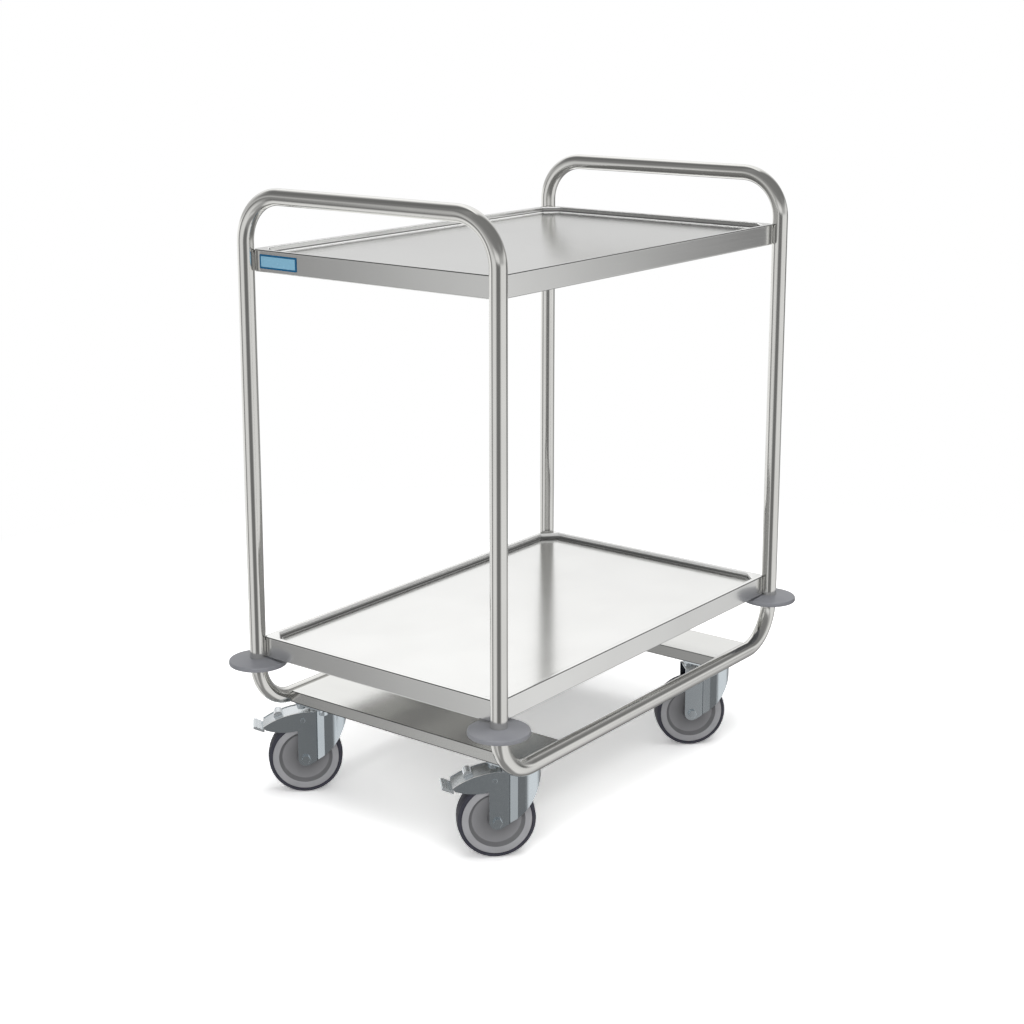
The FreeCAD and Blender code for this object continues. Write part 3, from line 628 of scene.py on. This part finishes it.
def folded_tray(name, low, high):
    """A shelf folded from one sheet, with round folds and the sheet's thickness."""
    piece = tray_sheet(name, low, high)
    deck_z = high.z - tray_depth
    edit_mode()
    pick_edges(piece, lambda co: abs(co.z - deck_z) < deck_reach)
    bpy.ops.mesh.bevel(offset=deck_fold_radius, segments=deck_fold_segments)
    object_mode()
    add_bevel(piece, fold_radius, fold_segments, degrees=30)
    wall = piece.modifiers.new("sheet_wall", "SOLIDIFY")
    wall.thickness = sheet
    wall.offset = -1
    apply_modifier(piece, wall)
    smooth(piece, degrees=40)
    flatten_faces(piece)
    return piece


def paint_tray_light(piece, top_z, edge_depth, edge_slope, fold_slope, end_painted_shade, side_painted_shade):
    """Paints light and shade on a tray's faces. At the rear and left walls the upper edge gets a painted
    highlight down to edge_depth, where it faces up more than edge_slope, and so does the deck's fold,
    where it faces up more than fold_slope. Painted shade darkens the end and side walls and the rim's
    outer fold."""

    # Painted highlights along the upper edges of the rear and left walls and along the deck's fold
    def is_painted_highlight(face):
        at_rear = face.normal.x < -sideways and face.center.x > 0
        at_left = face.normal.y < -sideways and face.center.y > 0
        sunk = top_z - face.center.z
        on_edge = sunk < edge_depth and edge_slope < face.normal.z < nearly_level
        near_deck = tray_depth - 0.5 * deck_fold_radius < sunk < tray_depth
        on_fold = near_deck and fold_slope < face.normal.z < level_deck
        return float((at_rear or at_left) and (on_edge or on_fold))

    # Painted shade on the end and side walls and on the rim's outer fold
    def painted_shade_at(face):
        sunk = top_z - face.center.z
        outward = face.normal.xy.dot(face.center.xy)
        if outward > 0:
            on_rim_fold = rim_fold_slopes[0] < face.normal.z < rim_fold_slopes[1]
            return rim_fold_painted_shade * float(sunk < fold_radius and on_rim_fold)
        on_wall = 0 < sunk < tray_depth and abs(face.normal.z) < fold_slope
        return float(on_wall) * (end_painted_shade if abs(face.normal.x) > sideways else side_painted_shade)

    mark_faces(piece, "painted_highlight", is_painted_highlight)
    mark_faces(piece, "painted_shade", painted_shade_at)


# Where each shelf gets its painted highlights, and how strong its painted shade is
shelf_painted_light = {
    "top": {"edge_depth": 0.6 * fold_radius, "edge_slope": 0.3, "fold_slope": 0.75,
            "end_painted_shade": 0.55, "side_painted_shade": 0.0},
    "lower": {"edge_depth": 4 * mm, "edge_slope": -0.1, "fold_slope": 0.97,
              "end_painted_shade": 0.66, "side_painted_shade": 0.66},
}
for level, painted_light in shelf_painted_light.items():
    low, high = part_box(level + "_shelf")
    shelf_tray = folded_tray("tray_" + level, low, high)
    paint_tray_light(shelf_tray, high.z, **painted_light)
    finish_piece(shelf_tray, "cart", tray_steel, level + "_shelf")
    hat = softened(level + "_stiffener", "hat_section_" + level, thin_sheet_edge)
    finish_piece(hat, "cart", tray_steel, level + "_stiffener")


# Channels that carry the casters

# How strong the painted shade is on the lines along their front faces, and on the front faces themselves
channel_line_painted_shade = 0.9
channel_painted_shades = {"front": 0.06, "rear": 0.56}


def caster_channel(name, node, face_painted_shade):
    """A folded channel with painted shade on its front face, darker along its upper and lower edges."""
    piece = softened(node, name, pressed_edge, pressed_segments)
    low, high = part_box(node)
    upper_line = high.z - channel_upper_line
    lower_line = low.z + channel_lower_line
    edit_mode()
    for height in (upper_line, lower_line):
        bpy.ops.mesh.select_all(action="SELECT")
        bpy.ops.mesh.bisect(plane_co=(0, 0, height), plane_no=(0, 0, 1))
    object_mode()
    flatten_faces(piece)

    # Painted shade on faces that look to the front, darker on the lines along the edges
    def front_painted_shade(face):
        if face.normal.x > -sideways:
            return 0.0
        return face_painted_shade if lower_line < face.center.z < upper_line else channel_line_painted_shade

    mark_faces(piece, "painted_shade", front_painted_shade)
    return piece


for end_name, face_painted_shade in channel_painted_shades.items():
    channel = caster_channel("caster_channel_" + end_name, "channel_" + end_name, face_painted_shade)
    finish_piece(channel, "cart", channel_steel, "channel_" + end_name)


# Bumper discs

def bumper_disc():
    """A disc with a coned top, a rolled edge and a hollowed underside, modelled on the Z axis."""
    low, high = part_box("bumper_front_left")
    height = high.z - low.z
    rim = (high.x - low.x) / 2
    bore = tube_radius + seat_gap
    mouth = 0.8 * mm
    cone_start = 2 * mm
    cone_drop = 0.35 * mm
    edge = 2 * mm
    band = 7.5 * mm
    draft = 0.3 * mm
    collar = 5 * mm
    hollow = 1.6 * mm
    hollow_from_bore = 6.5 * mm
    hollow_from_rim = 8 * mm
    foot = 6 * mm
    outer = arc_points((rim - edge, edge), edge, start=-90, end=0, steps=6)
    outer += arc_points((rim - draft - edge, band - edge), edge, start=0, end=84, steps=6)
    profile = [(bore, height), (bore, 0), (bore + collar, 0), (bore + hollow_from_bore, hollow)]
    profile += [(rim - hollow_from_rim, hollow), (rim - foot, 0)] + outer
    profile += [(bore + cone_start, height - cone_drop), (bore + mouth, height)]
    return turned("bumper_pattern", profile, bumper_sides)


bumper_pattern = bumper_disc()
for corner in corner_names:
    low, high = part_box("bumper_" + corner)
    middle = (low + high) / 2
    place = Matrix.Translation((middle.x, middle.y, low.z))
    disc = placed_copy(bumper_pattern, "bumper_disc_" + corner, place)
    smooth(disc, degrees=32)
    finish_piece(disc, "cart", bumper_plastic, "bumper_" + corner)
bpy.data.objects.remove(bumper_pattern)


# Bare blue plate

def blue_plate():
    """A thin rounded plate with a raised border, on the skirt of the top shelf."""
    low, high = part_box("label_plate")
    middle = (low + high) / 2
    half = (high - low) / 2
    border = 3 * mm
    panel_slope = 0.2 * mm
    panel_sink = 0.15 * mm
    plate_corner = 1.5 * mm
    plate_edge = 0.12 * mm
    facing_front = -0.9
    start_clean()
    bpy.ops.mesh.primitive_cube_add(size=2, location=middle)
    piece = named("blue_plate")
    piece.scale = half
    bpy.ops.object.transform_apply(location=True, rotation=True, scale=True)
    edit_mode()
    pick(piece, "FACE", lambda face: face.normal.x < facing_front)
    bpy.ops.mesh.inset(thickness=border)
    bpy.ops.mesh.inset(thickness=panel_slope)
    bpy.ops.transform.translate(value=(panel_sink, 0, 0))
    pick(piece, "EDGE", lambda edge: abs(edge.verts[0].co.x - edge.verts[1].co.x) > half.x)
    bpy.ops.mesh.bevel(offset=plate_corner, segments=5)
    tidy_mesh()
    object_mode()
    add_bevel(piece, plate_edge, segments=2, degrees=40)
    smooth(piece, degrees=40)
    flatten_faces(piece)
    material = plate_blue(middle, half.y - border, half.z - border)
    finish_piece(piece, "cart", material, "label_plate")


blue_plate()


# Wheels

# Painted shade on a wheel's ring, on its wall and at its hub, and how much of it fades towards the wall
ring_painted_shade = 0.0
wall_painted_shade = 0.77
hub_painted_shade = 0.95
painted_shade_fade = 0.5

# How far inside the wall's foot and the ring's inner edge their marks start
wall_margin = 1.5 * mm
ring_margin = 0.25 * mm


def tyre_pattern():
    """The tread band: a crowned running face, rounded shoulders and a fine line round each flank."""
    half = tread_width / 2
    seat = wheel_radius - tread_band
    crown = 2.6 * mm
    crown_share = 0.55
    shoulder = wheel_radius - crown
    shoulder_inset = 2.2 * mm
    shoulder_round = 4.4 * mm
    running_inset = 5.2 * mm
    running_steps = 12
    line_start = 0.6 * mm
    line_middle = 1.0 * mm
    line_end = 1.4 * mm
    line_depth = 0.4 * mm
    flank = [(seat, -half), (seat + line_start, -half)]
    flank += [(seat + line_middle, -half + line_depth), (seat + line_end, -half)]
    corner_middle = (shoulder - shoulder_inset, -half + shoulder_round)
    corner = arc_points(corner_middle, shoulder_round, start=-90, end=-28, steps=6)
    span = half - running_inset
    running = []
    for step in range(running_steps + 1):
        y = -span + 2 * span * step / running_steps
        running.append((wheel_radius - crown * crown_share * (y / span) ** 2, y))
    low_side = flank + corner
    high_side = [(r, -z) for r, z in reversed(low_side)]
    return turned("tyre_pattern", low_side + running + high_side, wheel_sides)


def rim_pattern():
    """The moulded wheel centre: hub, dished disc, sloped wall and the ring that carries the tread."""
    half = tread_width / 2
    seat = wheel_radius - tread_band - seat_gap
    ring_width = 10.5 * mm
    ring_inner = seat - ring_width
    ring_lean = 0.5 * mm
    wall_run = 4.5 * mm
    wall_foot = ring_inner - wall_run
    wall_rise = 0.2 * mm
    disc_sink = 6.5 * mm
    disc = half - disc_sink
    disc_rise = 0.15 * mm
    dish = 2.5 * mm
    disc_at_hub = disc - dish
    hub = 13 * mm
    hub_half = 18 * mm
    bore = 9.2 * mm
    chamfer = 0.6 * mm
    fillet = 2 * mm
    fillet_run = 1.6 * mm
    lip = 1 * mm
    hub_fillet = (hub + fillet_run + fillet, disc_at_hub + fillet)
    wall_fillet = (wall_foot - fillet_run, disc + wall_rise + fillet)
    side = [(bore, hub_half - chamfer), (bore + chamfer, hub_half)]
    side += arc_points((hub - lip, hub_half - lip), lip, start=90, end=0, steps=4)
    side += arc_points(hub_fillet, fillet, start=188, end=266, steps=5)
    side += [(wall_foot - fillet_run, disc + disc_rise)]
    side += arc_points(wall_fillet, fillet, start=276, end=326, steps=5)
    side += arc_points((ring_inner + ring_lean, half - lip), lip, start=146, end=90, steps=4)
    side += arc_points((seat - lip, half - lip), lip, start=90, end=0, steps=4)
    other = [(r, -z) for r, z in reversed(side)]
    piece = turned("rim_pattern", side + other, wheel_sides)
    paint_recess_shade(piece, hub, wall_foot, ring_inner)
    return piece


def paint_recess_shade(piece, hub, wall_foot, ring_inner):
    """Marks painted shade in the sunk part between hub and ring, most of all at the hub."""
    wall_start = wall_foot - wall_margin
    ring_start = ring_inner - ring_margin
    painted_recess_shade = piece.data.attributes.new("painted_recess_shade", "FLOAT", "POINT")
    for vertex, value in zip(piece.data.vertices, painted_recess_shade.data):
        across = vertex.co.xy.length
        if across > ring_start:
            value.value = ring_painted_shade
        elif across > wall_start:
            value.value = wall_painted_shade
        else:
            value.value = hub_painted_shade - painted_shade_fade * max(across - hub, 0) / (wall_foot - hub)


def wheel_matrix(corner):
    """From a wheel pattern on the Z axis to its place on a caster's axle."""
    joint = joints["wheel_roll_" + corner]
    axle = Vector(joint["axis"]).normalized()
    turn = up.rotation_difference(axle).to_matrix().to_4x4()
    return Matrix.Translation(joint["pos_m"]) @ turn


tyre_shape = tyre_pattern()
rim_shape = rim_pattern()
for corner in corner_names:
    place = wheel_matrix(corner)
    tyre = placed_copy(tyre_shape, "tread_band_" + corner, place)
    smooth(tyre, degrees=30)
    finish_piece(tyre, "wheel_" + corner, tread_rubber, "tyre_" + corner)
    centre = placed_copy(rim_shape, "wheel_centre_" + corner, place)
    smooth(centre, degrees=30)
    finish_piece(centre, "wheel_" + corner, wheel_plastic, "rim_" + corner)
bpy.data.objects.remove(tyre_shape)
bpy.data.objects.remove(rim_shape)


# Forks, brakes and fasteners

# How strong the painted shade in a fork's grooves and the painted highlight on a pedal are,
# and the slopes that tell a groove and a top
groove_painted_shade = 0.8
pedal_painted_highlight = 0.3
groove_slope = 0.3
fork_top_slope = 0.45


def pressed_fork(name, node, corner):
    """The fork's shell: crisp lines between its sides' facets, painted shade in grooves, painted highlight
    on top.
    """
    piece = softened(node, name, pressed_edge, pressed_segments)
    joint = joints["wheel_roll_" + corner]
    ahead = Vector(joint["axis"]).normalized().cross(up)
    centre = Vector(joint["pos_m"])

    def on_press_line(co):
        lead = (co - centre).dot(ahead)
        return min(abs(lead - line) for line in fork_press_lines) < press_line_reach

    def painted_shade_in_groove(face):
        lead = (face.center - centre).dot(ahead)
        in_reach = abs(lead - fork_groove_line) < fork_groove_reach
        return groove_painted_shade * float(in_reach and face.normal.dot(ahead) > groove_slope)

    edit_mode()
    pick_edges(piece, on_press_line)
    bpy.ops.mesh.mark_sharp()
    object_mode()
    flatten_faces(piece)
    # Painted shade in the grooves ahead of the axle
    mark_faces(piece, "painted_shade", painted_shade_in_groove)
    # A painted highlight on every face that looks up, such as the top edges of the wings
    mark_faces(piece, "painted_highlight", lambda face: float(face.normal.z > fork_top_slope))
    return piece


for corner in corner_names:
    fork = pressed_fork("fork_shell_" + corner, "fork_" + corner, corner)
    finish_piece(fork, "swivel_" + corner, zinc, "fork_" + corner)
    bolt = softened("axle_" + corner, "axle_bolt_" + corner, bolt_edge)
    finish_piece(bolt, "swivel_" + corner, zinc, "axle_" + corner)
    top_plate = softened("caster_plate_" + corner, "top_plate_" + corner, bolt_edge)
    finish_piece(top_plate, "cart", zinc, "caster_plate_" + corner)
for corner in braked_names:
    pedal = softened("pedal_" + corner, "brake_pedal_" + corner, thin_sheet_edge)
    # A painted highlight over the whole pedal
    mark_faces(pedal, "painted_highlight", lambda face: pedal_painted_highlight)
    finish_piece(pedal, "pedal_" + corner, zinc, "pedal_" + corner)
    rivet = softened("pedal_pin_" + corner, "pedal_rivet_" + corner, rivet_edge, pressed_segments)
    finish_piece(rivet, "swivel_" + corner, zinc, "pedal_pin_" + corner)
    dress("brake_shoe_" + corner, tread_rubber)
for group in ("caster_bolts", "caster_nuts", "caster_washers"):
    fasteners = softened(group, group.replace("caster_", "plate_"), small_edge)
    finish_piece(fasteners, "cart", zinc, group)

carried_over = {"kingpin_": zinc, "swivel_balls_": zinc, "sleeve_": zinc, "bush_": bearing_plastic}
for corner in corner_names:
    for kind, material in carried_over.items():
        dress(kind + corner, material)


# The way from the cart to the camera, in degrees from +X towards +Y
camera_azimuth = 216.9

# Shades of the studio at several heights, as (degrees to the right of the camera, shade)
under_foot = ((-180, 0.3), (180, 0.3))
floor_round = (
    (-180, 1.15), (-150, 1.1), (-139, 0.85), (-100, 0.88), (-90, 0.6), (-83, 0.4), (-50, 0.5),
    (-40, 0.8), (-18, 0.3), (16, 0.3), (40, 0.9), (108, 0.85), (124, 0.53), (138, 0.24), (170, 0.3),
    (180, 0.2))
walls_near_floor = (
    (-180, 0.15), (-166, 0.2), (-154, 0.95), (-98, 0.95), (-88, 0.18), (-82, 0.23), (-75, 0.63),
    (-66, 0.82), (-34, 0.85), (-16, 0.19), (18, 0.19), (36, 0.85), (97, 0.85), (108, 0.8), (115, 0.62),
    (126, 0.42), (150, 0.36), (165, 0.2), (180, 0.15))
walls_at_eye_level = (
    (-180, 1.15), (-122, 1.1), (-99, 0.98), (-88, 0.18), (-82, 0.23), (-75, 0.63), (-66, 0.82),
    (-34, 0.85), (-16, 0.19), (18, 0.19), (36, 0.85), (97, 0.87), (105, 0.8), (113, 0.15), (140, 0.32),
    (180, 0.85))
walls_over_eye_level = (
    (-180, 0.66), (-150, 0.66), (-90, 0.5), (-60, 0.5), (-30, 0.5), (-14, 0.9), (14, 0.9), (30, 0.5),
    (60, 0.5), (92, 0.8), (110, 0.9), (125, 0.4), (145, 0.4), (160, 0.66), (180, 0.66))
walls_above = (
    (-180, 1.15), (-150, 1.1), (-125, 0.6), (-100, 0.22), (-70, 0.24), (-50, 0.3), (30, 0.24), (60, 0.3),
    (95, 0.22), (115, 0.22), (135, 0.3), (155, 1.0), (180, 1.12))
ceiling_round = (
    (-180, 1.2), (-158, 1.2), (-141, 0.6), (-122, 0.2), (-92, 0.18), (-64, 0.3), (-50, 0.24),
    (120, 0.22), (135, 0.4), (155, 1.0), (180, 1.1))

# Elevations, in degrees, between which the studio fades from one height's shades to the next one's
room_fades = (
    (-70, -58, floor_round), (-40, -30, walls_near_floor), (-16, -9, walls_at_eye_level),
    (-1, 3, walls_over_eye_level), (9, 20, walls_above), (26, 36, ceiling_round))

# The floor's tone and glow, as (for the light that it sends back to the cart, to the eye)
floor_tone = (0.6, 1.8)
floor_glow = (0.0, 0.08)
far_floor_glow = (0.3, 1.0)


# Floor, light and camera

def rays_of(tree, *kinds):
    """1 for rays of the given kinds, and 0 for all others."""
    path = tree.nodes.new("ShaderNodeLightPath")
    value = path.outputs[kinds[0]]
    for kind in kinds[1:]:
        value = joined(tree, "MAXIMUM", value, path.outputs[kind])
    return value


def round_ramp(tree, turn, stops):
    """Shades by the turn round the room, from stops of (degrees to the right of the camera, shade)."""
    ramp = tree.nodes.new("ShaderNodeValToRGB")
    elements = ramp.color_ramp.elements
    while len(elements) < len(stops):
        elements.new(0.5)
    for element, (degrees, shade) in zip(elements, stops):
        element.position = (degrees + 180) / 360
        element.color = (shade, shade, shade, 1)
    tree.links.new(turn, ramp.inputs["Fac"])
    return ramp.outputs["Color"]


def mixed(tree, factor, first, second):
    """Two linked colours mixed by a factor."""
    mix = tree.nodes.new("ShaderNodeMix")
    mix.data_type = "RGBA"
    tree.links.new(factor, mix.inputs["Factor"])
    tree.links.new(first, mix.inputs["A"])
    tree.links.new(second, mix.inputs["B"])
    return mix.outputs["Result"]


def plain_shade(tree, shade):
    """A grey that is the same in all directions."""
    colour = tree.nodes.new("ShaderNodeRGB")
    colour.outputs["Color"].default_value = (shade, shade, shade, 1)
    return colour.outputs["Color"]


def room_shades(tree):
    """The bright and dark walls of the studio, by direction."""
    direction = tree.nodes.new("ShaderNodeTexCoord")
    turned_view = tree.nodes.new("ShaderNodeVectorRotate")
    turned_view.rotation_type = "Z_AXIS"
    turned_view.inputs["Angle"].default_value = -math.radians(camera_azimuth)
    tree.links.new(direction.outputs["Generated"], turned_view.inputs["Vector"])
    split = tree.nodes.new("ShaderNodeSeparateXYZ")
    tree.links.new(turned_view.outputs["Vector"], split.inputs["Vector"])
    angle = joined(tree, "ARCTAN2", split.outputs["Y"], split.outputs["X"])
    turn = ranged(tree, angle, -math.pi, math.pi, 0.0, 1.0)
    room = round_ramp(tree, turn, under_foot)
    for low, high, stops in room_fades:
        low_sine = math.sin(math.radians(low))
        high_sine = math.sin(math.radians(high))
        fade = ranged(tree, split.outputs["Z"], low_sine, high_sine, 0.0, 1.0)
        room = mixed(tree, fade, room, round_ramp(tree, turn, stops))
    return room


def studio_world(fill):
    """White to the eye, a soft fill for matt surfaces and the studio's walls in reflections."""
    world = bpy.data.worlds.new("studio")
    bpy.context.scene.world = world
    world.use_nodes = True
    tree = world.node_tree
    mirrored = rays_of(tree, "Is Glossy Ray")
    light = mixed(tree, mirrored, plain_shade(tree, fill), room_shades(tree))
    seen = rays_of(tree, "Is Camera Ray", "Is Transmission Ray")
    shown = mixed(tree, seen, light, plain_shade(tree, 1.0))
    tree.links.new(shown, tree.nodes["Background"].inputs["Color"])


def white_floor(size, sink, shadow_reach, white_reach):
    """A pale floor that keeps the cart's shadow up to shadow_reach and is plain white past white_reach."""
    start_clean()
    bpy.ops.mesh.primitive_plane_add(size=size, location=(0, 0, -sink))
    floor = named("floor")
    material = bpy.data.materials.new("floor_white")
    material.use_nodes = True
    tree = material.node_tree
    tree.nodes.remove(tree.nodes["Principled BSDF"])
    shown = rays_of(tree, "Is Camera Ray", "Is Glossy Ray", "Is Transmission Ray")
    matt = tree.nodes.new("ShaderNodeBsdfDiffuse")
    tree.links.new(ranged(tree, shown, 0, 1, *floor_tone), matt.inputs["Color"])
    glow = tree.nodes.new("ShaderNodeEmission")
    tree.links.new(ranged(tree, shown, 0, 1, *floor_glow), glow.inputs["Strength"])
    near = tree.nodes.new("ShaderNodeAddShader")
    tree.links.new(matt.outputs["BSDF"], near.inputs[0])
    tree.links.new(glow.outputs["Emission"], near.inputs[1])
    far = tree.nodes.new("ShaderNodeEmission")
    tree.links.new(ranged(tree, shown, 0, 1, *far_floor_glow), far.inputs["Strength"])
    coordinates = tree.nodes.new("ShaderNodeTexCoord")
    length = tree.nodes.new("ShaderNodeVectorMath")
    length.operation = "LENGTH"
    tree.links.new(coordinates.outputs["Object"], length.inputs[0])
    distance = ranged(tree, length.outputs["Value"], shadow_reach, white_reach, 0.0, 1.0)
    fade = tree.nodes.new("ShaderNodeMixShader")
    tree.links.new(distance, fade.inputs["Fac"])
    tree.links.new(near.outputs["Shader"], fade.inputs[1])
    tree.links.new(far.outputs["Emission"], fade.inputs[2])
    tree.links.new(fade.outputs["Shader"], tree.nodes["Material Output"].inputs["Surface"])
    floor.data.materials.append(material)
    floor.visible_glossy = False


def soft_lamp(name, place, target, size, power):
    """A square lamp that lights matt surfaces and stays out of reflections."""
    start_clean()
    bpy.ops.object.light_add(type="AREA", location=place)
    lamp = bpy.context.object
    lamp.name = name
    lamp.data.shape = "SQUARE"
    lamp.data.size = size
    lamp.data.energy = power
    lamp.visible_glossy = False
    lamp.rotation_euler = (Vector(target) - Vector(place)).to_track_quat("-Z", "Y").to_euler()


def studio_camera(place, tilt, heading, lens, shift):
    """The camera, tilted down and turned from +Y, in degrees, with its picture shifted up or down."""
    camera_data = bpy.data.cameras.new("camera")
    camera = bpy.data.objects.new("camera", camera_data)
    bpy.context.scene.collection.objects.link(camera)
    camera.location = place
    camera.rotation_euler = (math.radians(90 - tilt), 0, math.radians(heading))
    camera_data.sensor_width = 36
    camera_data.lens = lens
    camera_data.shift_y = shift
    bpy.context.scene.camera = camera


studio_world(fill=0.3)
white_floor(size=24, sink=0.2 * mm, shadow_reach=0.9, white_reach=1.9)
soft_lamp("lamp_overhead", place=(-0.3, -0.8, 4.6), target=(0, 0, 0.3), size=3.4, power=155)
soft_lamp("lamp_front", place=(-2.6, -1.6, 1.0), target=(0, 0, 0.4), size=2.4, power=50)
studio_camera(place=(-2.4512, -1.8396, 1.3107), tilt=12.42, heading=-52.65, lens=65.45, shift=-0.10)
bpy.context.scene.view_settings.view_transform = "Standard"
